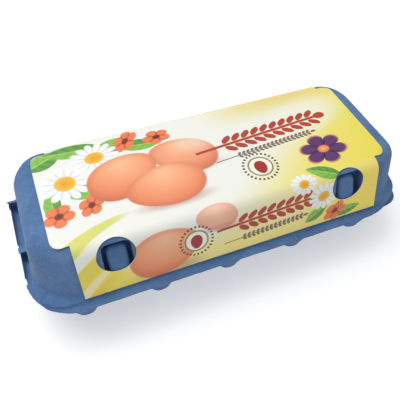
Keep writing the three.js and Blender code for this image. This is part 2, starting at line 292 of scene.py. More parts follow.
def rounded_rectangle(half, front, back, radii, steps=CORNER_STEPS):
    """Points and outward directions, anticlockwise from the front right corner."""
    right_front, right_back, left_back, left_front = radii
    centres = [
        (half - right_front, front + right_front),
        (half - right_back, back - right_back),
        (-half + left_back, back - left_back),
        (-half + left_front, front + left_front),
    ]
    points = []
    for corner, (cx, cy) in enumerate(centres):
        for i in range(steps + 1):
            angle = (corner - 1 + i / steps) * math.pi / 2
            nx, ny = math.cos(angle), math.sin(angle)
            points.append((cx + radii[corner] * nx, cy + radii[corner] * ny, nx, ny))
    return subdivided(points)


def subdivided(points):
    """Adds points along the long straight stretches."""
    dense = []
    for a, b in zip(points, points[1:] + points[:1]):
        dense.append(a)
        count = int(math.hypot(b[0] - a[0], b[1] - a[1]) / STRAIGHT_STEP)
        for i in range(1, count):
            share = i / count
            dense.append(tuple(u + (v - u) * share for u, v in zip(a, b)))
    return dense


def ramp(low, high, value):
    return min(1, max(0, (value - low) / (high - low)))


# Lid

def wall_top(side):
    return LID_TOP - side["radius"] * (1 - math.sin(side["lean"]))


def wall_inset(side):
    return (wall_top(side) - RIM_TOP) * math.tan(side["lean"])


def total_inset(side):
    return wall_inset(side) + side["radius"] * math.cos(side["lean"])


LID_HALF = END_FLAT_HALF + total_inset(END)
LID_FRONT = CREASE_FRONT - total_inset(FRONT)
LID_BACK = CREASE_BACK + total_inset(BACK)


def side_at(nx, ny):
    across = FRONT if ny < 0 else BACK
    share = nx * nx
    return {key: END[key] * share + across[key] * (1 - share) for key in ("lean", "radius")}


def corner_inset(nx, ny, z):
    """The corners swell below a crescent ledge, and the front ones are cut back towards the top.

    The ledge at the front left corner lies lower and wider than the others and has sharp ends,
    where theirs are soft. A groove runs under each ledge, along the rim.
    """
    ledge = LOW_LEDGE if nx < 0 and ny < 0 else HIGH_LEDGE
    corner = abs(2 * nx * ny) ** ledge["fade"]
    above = ramp(ledge["bottom"], ledge["top"], z)
    soft = above * above * (3 - 2 * above)
    above += (soft - above) * ledge["softness"]
    front_cut = ledge["waist_cut"] + (TOP_CUT - ledge["waist_cut"]) * ramp(ledge["top"], LID_TOP, z)
    cut = front_cut if ny < 0 else 0
    swell = ledge["swell"] - ledge["groove"] * (1 - ramp(RIM_TOP, ledge["bottom"], z))
    return corner * (cut * above - swell * (1 - above))


def wall_ring(outline, share):
    ring = []
    for x, y, nx, ny in outline:
        side = side_at(nx, ny)
        z = RIM_TOP + (wall_top(side) - RIM_TOP) * share
        inset = (z - RIM_TOP) * math.tan(side["lean"]) + corner_inset(nx, ny, z)
        fillet = RIM_FILLET * (1 - CORNER_FILLET_LOSS * abs(2 * nx * ny))
        toe = max(0, 1 - (z - RIM_TOP) / fillet)
        inset -= fillet * (1 - math.sqrt(1 - toe * toe))
        ring.append((x - nx * inset, y - ny * inset, z))
    return ring


def edge_ring(outline, share):
    ring = []
    for x, y, nx, ny in outline:
        side = side_at(nx, ny)
        angle = side["lean"] + (math.pi / 2 - side["lean"]) * share
        z = LID_TOP - side["radius"] * (1 - math.sin(angle))
        turn = side["radius"] * (math.cos(side["lean"]) - math.cos(angle))
        inset = wall_inset(side) + turn + corner_inset(nx, ny, z)
        ring.append((x - nx * inset, y - ny * inset, z))
    return ring


def lid_body():
    outline = rounded_rectangle(LID_HALF, LID_FRONT, LID_BACK, LID_CORNERS)
    rings = [[(x, y, LID_BASE) for x, y, _ in wall_ring(outline, 0)]]
    rings += [wall_ring(outline, (i / WALL_LEVELS) ** LEVEL_CROWDING) for i in range(WALL_LEVELS + 1)]
    rings += [edge_ring(outline, i / EDGE_LEVELS) for i in range(1, EDGE_LEVELS + 1)]
    return loft("lid_pulp", rings)


def rim_outline(setback):
    """The rim's wavy edge, made a little large, because rounding wears it down."""
    setback -= RIM_GROWTH
    outline = rounded_rectangle(RIM_HALF - setback, RIM_FRONT + setback, RIM_BACK - setback,
                                [radius - setback for radius in RIM_CORNERS])
    narrowing = (RIM_HALF - RIM_FRONT_HALF) / RIM_HALF
    edge = []
    for x, y, nx, ny in outline:
        place = (x / RIM_WAVE_LENGTH, y / RIM_WAVE_LENGTH, setback * RIM_WAVE_LENGTH)
        wave = noise.noise(Vector(place))
        inset = RIM_WAVE * max(0, wave)
        x *= 1 - narrowing * (RIM_BACK - y) / DEPTH
        edge.append((x - nx * inset, y - ny * inset, nx, ny))
    return edge


def rim_plate(bottom, top, setback):
    outline = rim_outline(setback)
    return loft("rim", [[(x, y, z) for x, y, _, _ in outline] for z in (bottom, top)])


def inside_lip():
    """The room inside a thin lip along the edge of the end bars. The lip's inner face slopes."""
    levels = ((TRAY_TOP - NOTCH_DEEP - GAP, LIP_FOOT), (TRAY_TOP, LIP_EDGE), (TRAY_TOP + PAST, LIP_EDGE))
    outline = rim_outline(BAR_SETBACK)
    return loft("inside", [[(x - nx * inset, y - ny * inset, z) for x, y, nx, ny in outline]
                           for z, inset in levels])


FRONT_ARC = (math.pi / 2 - FRONT["lean"]) * (FRONT["radius"] + SKIN)
BACK_ARC = (math.pi / 2 - BACK["lean"]) * (BACK["radius"] + SKIN)


def section_point(side, crease, sign, run, lift):
    """A point of the label's outer face, at a distance along the sheet from a top crease."""
    radius = side["radius"] + SKIN
    arc = (math.pi / 2 - side["lean"]) * radius
    turned = min(max(run, 0), arc) / radius
    ny = math.sin(turned) * sign
    nz = math.cos(turned)
    y = crease + radius * ny
    z = HEIGHT - radius * (1 - nz)
    if run < 0:
        y += run * sign
    if run > arc:
        y += (run - arc) * nz * sign
        z -= (run - arc) * abs(ny)
    return y + ny * lift, z + nz * lift


def on_front_wall(x, run, lift):
    y, z = section_point(FRONT, CREASE_FRONT, -1, FRONT_ARC, 0)
    along = run - FRONT_ARC
    lean = FRONT["lean"]
    return (x, y - math.sin(lean) * along - math.cos(lean) * lift,
            z - math.cos(lean) * along + math.sin(lean) * lift)


def wall_block(x, width, run_start, run_end, corner, deep, high, bevel=0, slope=0):
    """A block in the front wall. Its face sinks by the slope towards its upper end."""
    outline = rounded_rectangle(width / 2, -run_end, -run_start, [corner] * 4, BLOCK_CORNER_STEPS)
    levels = [(0, -deep, 0)]
    for turn in range(0, 91, FILLET_TURN) if bevel else (0,):
        angle = turn * DEGREE
        levels.append((bevel * (1 - math.cos(angle)), -high - bevel * (1 - math.sin(angle)), slope))
    return loft("block", [
        [on_front_wall(x + px - nx * inset, -(py - ny * inset), lift - sink * (run_end + py - ny * inset))
         for px, py, nx, ny in outline]
        for inset, lift, sink in levels])


def ear_cut(sign):
    return end_block(sign, EAR_INNER, EAR_BACK, RIM_BACK + PAST, 0, RIM_TOP + PAST)


def hinge_strip(clearance):
    reach = HINGE_HALF + clearance
    return block(-reach, reach, RIM_BACK - HINGE_THICK - clearance, RIM_BACK + clearance,
                 TRAY_FLANGE_BOTTOM - clearance, RIM_TOP + clearance)


def make_lid(pulp):
    lid = combine(lid_body(), [rim_plate(LID_BASE, RIM_TOP, 0)], "UNION")
    cutters = [hinge_strip(GAP)]
    for sign in (-1, 1):
        cutters.append(ear_cut(sign))
        for notch in NOTCHES:
            cutters.append(end_block(sign, NOTCH_INNER, notch["front"], notch["back"],
                                     LID_BASE - PAST, RIM_TOP + PAST))
        extra = RIGHT_OPENING_EXTRA if sign > 0 else 0
        x = sign * LATCH_X + LATCH_SHIFT + extra / 2
        width = OPENING_WIDTH + extra
        cutters.append(wall_block(x, width, OPENING_START, OPENING_END,
                                  OPENING_CORNER, LIP_DEPTH, -PAST))
        cutters.append(wall_block(x, width, LIP_END, OPENING_END,
                                  OPENING_CORNER, OPENING_DEPTH, 0))
    combine(lid, cutters, "DIFFERENCE")
    finish_pulp(lid, pulp, "lid", PULP_VOXEL)


def make_latch_tab(sign, node, pulp):
    tab = wall_block(sign * LATCH_X + LATCH_SHIFT, TAB_WIDTH, TAB_START, OPENING_END - GAP,
                     TAB_CORNER, OPENING_DEPTH - GAP, TAB_SINK, TAB_BEVEL, TAB_SLOPE)
    finish_pulp(tab, pulp, node, TAB_VOXEL)


def finish_pulp(obj, pulp, node, voxel):
    """Gives a pulp piece its rough surface, its material and its place in the frame."""
    obj.name = node + "_pulp"
    remesh(obj, voxel)
    relief(obj, RELIEF_SEEDS[node])
    shade_smooth(obj)
    obj.data.materials.clear()
    obj.data.materials.append(pulp)
    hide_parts(node)
    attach(obj, "root")


# Tray

def cup_ring(x, y, z, half_x, half_y, power):
    ring = []
    for i in range(CUP_SIDES):
        angle = 2 * math.pi * i / CUP_SIDES
        c, s = math.cos(angle), math.sin(angle)
        reach = (abs(c) ** power + abs(s) ** power) ** (-1 / power)
        ring.append((x + half_x * c * reach, y + half_y * s * reach, z))
    return ring


def make_cup(x, y):
    rings = []
    for turn in range(0, 90, FILLET_TURN):
        inset = FOOT_FILLET * (1 - math.sin(turn * DEGREE))
        z = FOOT_FILLET * (1 - math.cos(turn * DEGREE))
        rings.append(cup_ring(x, y, z, CUP_FOOT[0] - inset, CUP_FOOT[1] - inset, FOOT_SQUARENESS))
    for i in range(CUP_LEVELS + 1):
        share = i / CUP_LEVELS
        grow = share ** CUP_FLARE
        z = FOOT_FILLET + (TRAY_FLANGE_BOTTOM + FLANGE / 2 - FOOT_FILLET) * share
        rings.append(cup_ring(
            x, y, z,
            CUP_FOOT[0] + (CUP_MOUTH[0] - CUP_FOOT[0]) * grow,
            CUP_FOOT[1] + (CUP_MOUTH[1] - CUP_FOOT[1]) * grow,
            FOOT_SQUARENESS + (MOUTH_SQUARENESS - FOOT_SQUARENESS) * share))
    return loft("cup", rings)


def make_web():
    outline = rounded_rectangle(WEB_HALF + WEB_TAPER, -WEB_HALF_DEPTH - WEB_TAPER,
                                WEB_HALF_DEPTH + WEB_TAPER, [WEB_CORNER] * 4)
    levels = ((WEB_BOTTOM, WEB_TAPER), (TRAY_TOP - FLANGE / 2, 0))
    return loft("web", [[(x - nx * inset, y - ny * inset, z) for x, y, nx, ny in outline]
                        for z, inset in levels])


def make_post_hollow(x):
    return loft("hollow", [
        cup_ring(x, 0, WEB_BOTTOM - PAST / 2, POST_MOUTH, POST_MOUTH, 2),
        cup_ring(x, 0, WEB_BOTTOM + POST_DEPTH, POST_TIP, POST_TIP, 2),
    ])


def ramp_cut(sign, notch):
    """The wedge that makes a notch deep at its back and shallow at its front."""
    back = notch["back"] + notch["tuck"]
    profile = [
        (notch["front"], TRAY_TOP - NOTCH_SHALLOW),
        (back, TRAY_TOP - NOTCH_DEEP),
        (back, TRAY_TOP + PAST),
        (notch["front"], TRAY_TOP + PAST),
    ]
    inner, outer = sorted((sign * NOTCH_INNER, sign * (RIM_HALF + PAST)))
    points = [(x, y, z) for x in (inner, outer) for y, z in profile]
    faces = [(3, 2, 1, 0), (4, 5, 6, 7)]
    faces += [(i, (i + 1) % 4, (i + 1) % 4 + 4, i + 4) for i in range(4)]
    return combine(mesh_object("wedge", points, faces), [inside_lip()], "INTERSECT")


def make_tray(pulp):
    tray = rim_plate(TRAY_FLANGE_BOTTOM, TRAY_TOP, TRAY_SETBACK)
    joined = [make_web(), hinge_strip(0)]
    cutters = []
    for sign in (-1, 1):
        bar = rim_plate(TRAY_TOP - END_BAR_DEPTH, TRAY_TOP, BAR_SETBACK)
        span = end_block(sign, END_BAR_INNER, END_BAR_FRONT, END_BAR_BACK, 0, TRAY_TOP)
        joined.append(combine(bar, [span], "INTERSECT"))
        cutters += [ramp_cut(sign, notch) for notch in NOTCHES] + [ear_cut(sign)]
    for column in range(COLUMNS):
        x = (column - (COLUMNS - 1) / 2) * CUP_PITCH
        joined += [make_cup(x, row) for row in (-ROW_Y, ROW_Y)]
    for column in range(COLUMNS - 1):
        cutters.append(make_post_hollow((column - (COLUMNS - 2) / 2) * CUP_PITCH))
    combine(tray, joined, "UNION")
    combine(tray, cutters, "DIFFERENCE")
    finish_pulp(tray, pulp, "tray", PULP_VOXEL)


# Label: cut flat, then bent round the lid. In the flat sheet t runs from the front crease to the back.

TOP_DEPTH = CREASE_BACK - CREASE_FRONT
SHEET_FRONT = -(FRONT_ARC + LABEL_FRONT_DROP)
SHEET_BACK = TOP_DEPTH + BACK_ARC + LABEL_BACK_DROP


def flat_sheet():
    """A thin flat slab split into small cells."""
    columns = math.ceil(2 * LABEL_TOP_HALF / SHEET_CELL) + 2
    rows = math.ceil((SHEET_BACK - SHEET_FRONT) / SHEET_CELL) + 2
    points = []
    for z in (0, PAPER):
        for r in range(rows + 1):
            for c in range(columns + 1):
                points.append((-LABEL_TOP_HALF + (c - 1) * SHEET_CELL,
                               SHEET_FRONT + (r - 1) * SHEET_CELL, z))
    wide = columns + 1
    layer = wide * (rows + 1)
    faces = []
    for r in range(rows):
        for c in range(columns):
            a = r * wide + c
            faces.append((a, a + wide, a + wide + 1, a + 1))
            faces.append(tuple(i + layer for i in (a, a + 1, a + wide + 1, a + wide)))
    rim = list(range(wide))
    rim += [r * wide + columns for r in range(1, rows + 1)]
    rim += [rows * wide + c for c in range(columns - 1, -1, -1)]
    rim += [r * wide for r in range(rows - 1, 0, -1)]
    for a, b in zip(rim, rim[1:] + rim[:1]):
        faces.append((a, b, b + layer, a + layer))
    return mesh_object("label_paper", points, faces)


def prism(outline):
    return loft("prism", [[(x, t, z) for x, t in outline] for z in (-1, PAPER + 1)])


def label_outline():
    def corner(cx, ct, start):
        angles = [(start + turn) * DEGREE for turn in range(0, 91, EAR_CORNER_TURN)]
        return [(cx + LABEL_CORNER * math.cos(a), ct + LABEL_CORNER * math.sin(a)) for a in angles]
    ear = LABEL_TOP_HALF - LABEL_CORNER
    right = [(LABEL_WALL_HALF, SHEET_FRONT), (LABEL_WALL_HALF, 0)]
    right += corner(ear, LABEL_CORNER, -90)
    right += corner(ear, TOP_DEPTH - LABEL_CORNER, 0)
    right += [(LABEL_WALL_HALF, TOP_DEPTH), (LABEL_WALL_HALF, SHEET_BACK)]
    return right + [(-x, t) for x, t in reversed(right)]


def label_hole(sign):
    t = -(LABEL_HOLE_START + LABEL_HOLE / 2)
    turns = [2 * math.pi * i / HOLE_SIDES for i in range(HOLE_SIDES)]
    return prism([(sign * LATCH_X + LABEL_HOLE / 2 * math.cos(a),
                   t + LABEL_HOLE / 2 * math.sin(a)) for a in turns])


def label_slit():
    x, t = SLIT["x"], -SLIT["run"]
    w, l = SLIT["width"] / 2, SLIT["length"] / 2
    return prism([(x - w, t - l), (x + w, t - l), (x + w, t + l), (x - w, t + l)])


def ear_droop(x, t):
    """How far the sheet sinks where the flat top of the lid turns down under an ear."""
    y = CREASE_FRONT + t
    front = y < 0
    radius = LID_CORNERS[0] if front else LID_CORNERS[2]
    across = FRONT if front else BACK
    centre_x = LID_HALF - radius
    centre_y = LID_FRONT + radius if front else LID_BACK - radius
    reach_x = abs(x) - centre_x
    reach_y = centre_y - y if front else y - centre_y
    if reach_x <= 0 or reach_y <= 0:
        return 0
    inset = (total_inset(END) + total_inset(across)) / 2 + (TOP_CUT if front else 0)
    bend = (END["radius"] + across["radius"]) / 2
    over = min(max(0, math.hypot(reach_x, reach_y) - (radius - inset)), bend * DROOP_LIMIT)
    return bend - math.sqrt(bend * bend - over * over)


def sheet_wave(x, t, wave):
    return noise.noise(Vector((x / wave["x"], t / wave["t"], wave["seed"])))


def bend_sheet(obj):
    """Stores the flat places as texture coordinates and wraps the sheet round the lid."""
    mesh = obj.data
    flat = np.empty(len(mesh.vertices) * 3)
    mesh.vertices.foreach_get("co", flat)
    flat = flat.reshape(-1, 3)
    layer = mesh.uv_layers.new(name="sheet")
    loops = np.empty(len(mesh.loops), dtype=np.int32)
    mesh.loops.foreach_get("vertex_index", loops)
    layer.data.foreach_set("uv", flat[loops][:, :2].astype(np.float32).ravel())
    for polygon in mesh.polygons:
        polygon.material_index = 0 if polygon.normal.z > 0.5 else 1
    bent = []
    for x, t, z in flat / MM:
        wave = sheet_wave(x, t, BROAD_WAVE) + FINE_WAVE_SHARE * sheet_wave(x, t, FINE_WAVE)
        lift = z - PAPER - SHEET_WAVE * (1 + wave) / 2
        if t < 0:
            y, height = section_point(FRONT, CREASE_FRONT, -1, -t, lift)
        elif t > TOP_DEPTH:
            y, height = section_point(BACK, CREASE_BACK, 1, t - TOP_DEPTH, lift)
        else:
            y, height = CREASE_FRONT + t, HEIGHT + lift - ear_droop(x, t)
        bent.append((x * MM, y * MM, height * MM))
    mesh.vertices.foreach_set("co", np.array(bent).ravel())
    mesh.update()


def make_label(printed, core):
    label = flat_sheet()
    combine(label, [prism(label_outline())], "INTERSECT")
    combine(label, [label_hole(-1), label_hole(1), label_slit()], "DIFFERENCE")
    label.data.materials.clear()
    label.data.materials.append(printed)
    label.data.materials.append(core)
    bend_sheet(label)
    shade_smooth(label)
    label.data.set_sharp_from_angle(angle=SHARP_ANGLE * DEGREE)
    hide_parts("label")
    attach(label, "root")


# Shader arithmetic: a number in a node tree, so that formulas read as formulas

def linear(red, green, blue):
    """A colour from its 0 to 255 values, as the shader wants it."""
    values = []
    for part in (red, green, blue):
        part /= 255
        values.append(part / 12.92 if part <= 0.04045 else ((part + 0.055) / 1.055) ** 2.4)
    return (*values, 1)


class Num:
    def __init__(self, tree, socket):
        self.tree = tree
        self.socket = socket

    def math(self, operation, *others):
        node = self.tree.nodes.new("ShaderNodeMath")
        node.operation = operation
        for place, value in enumerate((self, *others)):
            if isinstance(value, Num):
                self.tree.links.new(value.socket, node.inputs[place])
            else:
                node.inputs[place].default_value = value
        return Num(self.tree, node.outputs[0])

    def __add__(self, other):
        return self.math("ADD", other)

    def __sub__(self, other):
        return self.math("SUBTRACT", other)

    def __mul__(self, other):
        return self.math("MULTIPLY", other)

    def __truediv__(self, other):
        return self.math("DIVIDE", other)

    def __abs__(self):
        return self.math("ABSOLUTE")

    def sqrt(self):
        return self.math("SQRT")

    def fades(self, full, none):
        """1 at full, 0 at none, smooth between."""
        node = self.tree.nodes.new("ShaderNodeMapRange")
        node.interpolation_type = "SMOOTHSTEP"
        node.clamp = False
        self.tree.links.new(self.socket, node.inputs["Value"])
        for key, value in (("From Min", none), ("From Max", full), ("To Min", 0), ("To Max", 1)):
            node.inputs[key].default_value = value
        return Num(self.tree, node.outputs["Result"])


def mixed(tree, under, over, mask):
    """One colour over another. Each is a colour or a socket, and the mask a Num."""
    node = tree.nodes.new("ShaderNodeMix")
    node.data_type = "RGBA"
    tree.links.new(mask.socket, node.inputs["Factor"])
    for key, value in ((6, under), (7, over)):
        if isinstance(value, bpy.types.NodeSocket):
            tree.links.new(value, node.inputs[key])
        else:
            node.inputs[key].default_value = value
    return node.outputs[2]


def coloured(tree, value, stops):
    """A colour ramp over a Num, from (place, colour) stops."""
    node = tree.nodes.new("ShaderNodeValToRGB")
    ramp_stops = node.color_ramp.elements
    while len(ramp_stops) < len(stops):
        ramp_stops.new(0.5)
    for stop, (place, colour) in zip(ramp_stops, stops):
        stop.position = place
        stop.color = colour
    tree.links.new(value.socket, node.inputs[0])
    return node.outputs[0]


def noise_value(tree, coordinates, scale, detail, distortion):
    node = tree.nodes.new("ShaderNodeTexNoise")
    node.inputs["Scale"].default_value = scale
    node.inputs["Detail"].default_value = detail
    node.inputs["Distortion"].default_value = distortion
    tree.links.new(coordinates, node.inputs["Vector"])
    return Num(tree, node.outputs["Fac"])


def new_material(name):
    material = bpy.data.materials.new(name)
    material.use_nodes = True
    tree = material.node_tree
    shader = tree.nodes["Principled BSDF"]
    return material, tree, shader


def add_bump(tree, shader, height, strength, distance):
    node = tree.nodes.new("ShaderNodeBump")
    node.inputs["Strength"].default_value = strength
    node.inputs["Distance"].default_value = distance
    tree.links.new(height.socket, node.inputs["Height"])
    tree.links.new(node.outputs[0], shader.inputs["Normal"])


# Materials. Each noise has its scale, detail and distortion.

PULP_NOISE = {"clouds": (45, 4, 0), "lumps": (260, 3, 0), "grain": (1100, 3, 0), "threads": (330, 2, 2.5)}
PULP_TONES = (
    (0.34, linear(68, 104, 151)),
    (0.5, linear(82, 118, 165)),
    (0.66, linear(96, 132, 179)),
)
TONE_SHARES = {"clouds": 0.55, "lumps": 0.3, "grain": 0.15}
BUMP_SHARES = {"lumps": 0.7, "grain": 0.5, "fibre": 0.25}
PULP_BUMP = {"strength": 0.55, "distance": 0.0004}
THREAD_MIDDLE = 0.5
FIBRE_HALF = {"full": 0.004, "none": 0.02}
FIBRE_COLOUR = linear(128, 156, 196)
FIBRE_STRENGTH = 0.4
CORE_NOISE = (1500, 3, 0)
CORE_TONES = ((0.3, linear(222, 221, 214)), (0.7, linear(240, 239, 233)))
PAPER_NOISE = (900, 3, 0)
PAPER_BUMP = {"strength": 0.12, "distance": 0.0002}
PAPER_WHITE = linear(242, 243, 236)


def pulp_material():
    material, tree, shader = new_material("blue_moulded_pulp")
    place = tree.nodes.new("ShaderNodeTexCoord").outputs["Object"]
    clouds, lumps, grain, threads = [noise_value(tree, place, *PULP_NOISE[key])
                                     for key in ("clouds", "lumps", "grain", "threads")]
    fibre = abs(threads - THREAD_MIDDLE).fades(**FIBRE_HALF)
    tone = clouds * TONE_SHARES["clouds"] + lumps * TONE_SHARES["lumps"] + grain * TONE_SHARES["grain"]
    colour = coloured(tree, tone, PULP_TONES)
    colour = mixed(tree, colour, FIBRE_COLOUR, fibre * FIBRE_STRENGTH)
    tree.links.new(colour, shader.inputs["Base Color"])
    shader.inputs["Roughness"].default_value = 0.92
    shader.inputs["Specular IOR Level"].default_value = 0.25
    shader.inputs["Sheen Weight"].default_value = 0.12
    shader.inputs["Sheen Roughness"].default_value = 0.6
    height = lumps * BUMP_SHARES["lumps"] + grain * BUMP_SHARES["grain"] + fibre * BUMP_SHARES["fibre"]
    add_bump(tree, shader, height, **PULP_BUMP)
    return material


def core_material():
    material, tree, shader = new_material("label_paper_core")
    place = tree.nodes.new("ShaderNodeTexCoord").outputs["Object"]
    grain = noise_value(tree, place, *CORE_NOISE)
    colour = coloured(tree, grain, CORE_TONES)
    tree.links.new(colour, shader.inputs["Base Color"])
    shader.inputs["Roughness"].default_value = 0.8
    return material


class Print:
    """What is printed on the sheet so far: a colour socket, and the flat places in millimetres."""

    def __init__(self, tree, colour):
        uv = tree.nodes.new("ShaderNodeUVMap")
        uv.uv_map = "sheet"
        scale = tree.nodes.new("ShaderNodeVectorMath")
        scale.operation = "SCALE"
        scale.inputs["Scale"].default_value = 1 / MM
        tree.links.new(uv.outputs[0], scale.inputs[0])
        self.tree = tree
        self.places = scale.outputs[0]
        self.colour = colour
        self.x, self.t = self.split(self.places)

    def split(self, vector):
        node = self.tree.nodes.new("ShaderNodeSeparateXYZ")
        self.tree.links.new(vector, node.inputs[0])
        return Num(self.tree, node.outputs[0]), Num(self.tree, node.outputs[1])

    def local(self, centre, size, angle=0):
        """Places seen from a motif: its centre at 0, its half sizes at 1."""
        node = self.tree.nodes.new("ShaderNodeMapping")
        node.vector_type = "TEXTURE"
        node.inputs["Location"].default_value = (*centre, 0)
        node.inputs["Rotation"].default_value = (0, 0, angle * DEGREE)
        node.inputs["Scale"].default_value = (*size, 1)
        self.tree.links.new(self.places, node.inputs["Vector"])
        return self.split(node.outputs[0])

    def paint(self, colour, mask):
        self.colour = mixed(self.tree, self.colour, colour, mask)

    def ramp(self, value, stops):
        return coloured(self.tree, value, stops)


def distance(u, v):
    return (u * u + v * v).sqrt()


def print_ground(sheet):
    """Cream that turns yellow to the right, at the back and down the front.

    Each wash is full at the first place of its fades and gone at the second, in millimetres.
    """
    x, t = sheet.x, sheet.t
    # Cream and gold along the top's back edge
    sheet.paint(linear(238, 228, 166), t.fades(72, 50) * x.fades(45, -5))
    sheet.paint(linear(236, 212, 132), t.fades(75, 60) * x.fades(75, 5) * 0.85)
    # Two slanting yellows on the right, with a pale patch in them
    sheet.paint(linear(239, 229, 122), (x - t * 1.1).fades(52, -10))
    sheet.paint(linear(238, 222, 84), (x - t * 0.8).fades(105, 40) * 0.9)
    sheet.paint(linear(244, 243, 226), distance(*sheet.local((70, 48), (36, 17), 14)).fades(0.2, 1.25))
    # The front: cream at its right, yellow low down and at both ends
    front = t.fades(-12, 2)
    sheet.paint(linear(250, 244, 214), front * x.fades(30, -30) * 0.7)
    sheet.paint(linear(253, 236, 136), t.fades(-34, -14) * 0.8)
    sheet.paint(linear(252, 230, 102), front * x.fades(80, 25))
    sheet.paint(linear(250, 228, 98), front * (x * -1 - t * 0.4).fades(92, 60))
    # Gold on the back
    sheet.paint(linear(232, 208, 124), t.fades(82, 73))


# Curved stripes round one centre: each one's radius, half width and colour
BAND_CENTRE = (-48, -78)
BAND_EDGE = 0.6
BAND_WIDENING = -0.022
BAND_WIDENING_START = 1.05
BANDS = (
    (89, 4.2, linear(222, 222, 118)),
    (80.5, 3.4, linear(246, 248, 238)),
    (72, 4.6, linear(238, 222, 92)),
    (64, 2.4, linear(248, 240, 190)),
    (57.5, 3.4, linear(240, 214, 84)),
)


def print_bands(sheet):
    """Curved stripes that sweep down to the front left corner and widen on the way."""
    radius = distance(*sheet.local(BAND_CENTRE, (1, 1)))
    near = (sheet.x - sheet.t * 0.4).fades(-76, -60)
    for middle, half, colour in BANDS:
        width = (sheet.x * BAND_WIDENING - BAND_WIDENING_START) * half
        sheet.paint(colour, (abs(radius - middle) - width).fades(-BAND_EDGE, BAND_EDGE) * near)


# Colours of the motifs

LEAF_LIGHT = linear(140, 196, 84)
LEAF_DARK = linear(84, 150, 66)
LEAF_RIB = linear(190, 216, 136)
DAISY = {"petal": linear(247, 248, 247), "fold": linear(210, 220, 222),
         "heart": linear(240, 160, 40), "ring": linear(240, 196, 70)}
POPPY = {"petal": linear(240, 132, 84), "fold": linear(204, 78, 56),
         "heart": linear(92, 52, 40), "ring": linear(150, 60, 44)}
PLUM_RIM = dict.fromkeys(("petal", "fold", "heart", "ring"), linear(206, 128, 112))
PLUM = {"petal": linear(100, 62, 112), "fold": linear(66, 40, 84),
        "heart": linear(250, 190, 110), "ring": linear(228, 128, 82)}
DAISY_HEART = 0.38
POPPY_HEART = 0.28
WHEAT_BROWN = linear(184, 72, 52)
STALK_GREY = linear(128, 112, 96)
EGG_TONES = (
    (0.0, linear(253, 196, 154)),
    (0.35, linear(250, 170, 126)),
    (0.62, linear(242, 150, 108)),
    (0.85, linear(228, 128, 92)),
    (1.0, linear(204, 106, 80)),
)
EGG_EDGE = linear(206, 110, 84)
EGG_SHADOW = linear(172, 118, 108)
HAZE = linear(242, 240, 226)
BADGE_DASH = linear(92, 84, 60)
BADGE_GROUND = linear(248, 247, 238)
BADGE_RING = linear(150, 148, 84)
BADGE_EGG = linear(170, 54, 48)

# Proportions of the motifs, where 1 is a motif's half size. A pair is where a fade is full and gone.
LEAF = {"outline": (0.95, 1.06), "veins": 16, "slant": 5, "vein_depth": 0.12, "halves": (-0.15, 0.15),
        "contrast": 0.6, "base": 0.15, "light": 0.1, "dark": 0.9, "rib": (0.03, 0.1), "rib_strength": 0.7}
PETALS = {"outline": (0.94, 1.05), "depth": 0.4, "lobe_shade": 0.7, "radius_shade": 0.3,
          "fold": 0.12, "petal": 0.62}
HEART = {"outline": (0.9, 1.12), "ring": 0.95}
EGG = {"outline": (0.96, 1.03), "taper": 0.16, "edge": (1.02, 0.72), "edge_strength": 0.35}
EGG_LIGHT = {"right": 0.02, "up": 0.3, "length": 0.75, "width": 0.95}
EGG_BELOW = {"right": 2, "down": 0.42, "length": 0.52, "width": 0.17, "outline": (0.3, 1.2), "strength": 0.6}
EGG_HAZE = {"right": 0.3, "up": 0.35, "outline": (0, 1)}
GRAIN = {"outline": (0.88, 1.08), "lean": 34, "outward": 0.28, "length": 0.3, "width": 0.3,
         "reach": (0.5, 0.503)}
STEM = {"half": (0.05, 0.09), "start": 0.14, "reach": (0.64, 0.645)}
TIP = {"place": 0.54, "length": 0.62, "width": 0.2}
BADGE = {"disc": (1, 1.06), "ring": (0.05, 0.1), "dash_radius": 1.42, "dash_half": (0.08, 0.14),
         "dash_gap": (0.2, 0.3), "dashes": 26}
SEAL_EGG = {"outline": (0.94, 1.05), "across": 1.9, "along": 1.45, "taper": 0.2}


def print_leaf(sheet, centre, length, width, angle):
    """A pointed leaf with a light half, a dark half, side veins and a pale rib."""
    u, v = sheet.local(centre, (length / 2, width / 2), angle)
    mask = (abs(v) + u * u).fades(*LEAF["outline"])
    veins = (u * LEAF["veins"] + abs(v) * -LEAF["slant"]).math("SINE") * LEAF["vein_depth"]
    side = v.fades(*LEAF["halves"]) * LEAF["contrast"] + veins + LEAF["base"]
    sheet.paint(sheet.ramp(side, ((LEAF["light"], LEAF_LIGHT), (LEAF["dark"], LEAF_DARK))), mask)
    sheet.paint(LEAF_RIB, abs(v).fades(*LEAF["rib"]) * mask * LEAF["rib_strength"])


def print_flower(sheet, centre, size, petals, look, turn=0, heart_size=0.34):
    """A flower of equal petals round a heart."""
    u, v = sheet.local(centre, size, turn)
    radius = distance(u, v)
    lobes = abs((v.math("ARCTAN2", u) * (petals / 2)).math("SINE"))
    reach = radius / (lobes.sqrt() * PETALS["depth"] + (1 - PETALS["depth"]))
    tone = lobes * PETALS["lobe_shade"] + radius * PETALS["radius_shade"]
    shade = sheet.ramp(tone, [(PETALS[key], look[key]) for key in ("fold", "petal")])
    sheet.paint(shade, reach.fades(*PETALS["outline"]))
    glow = sheet.ramp(radius / heart_size, ((0, look["heart"]), (HEART["ring"], look["ring"])))
    sheet.paint(glow, radius.fades(*[heart_size * part for part in HEART["outline"]]))


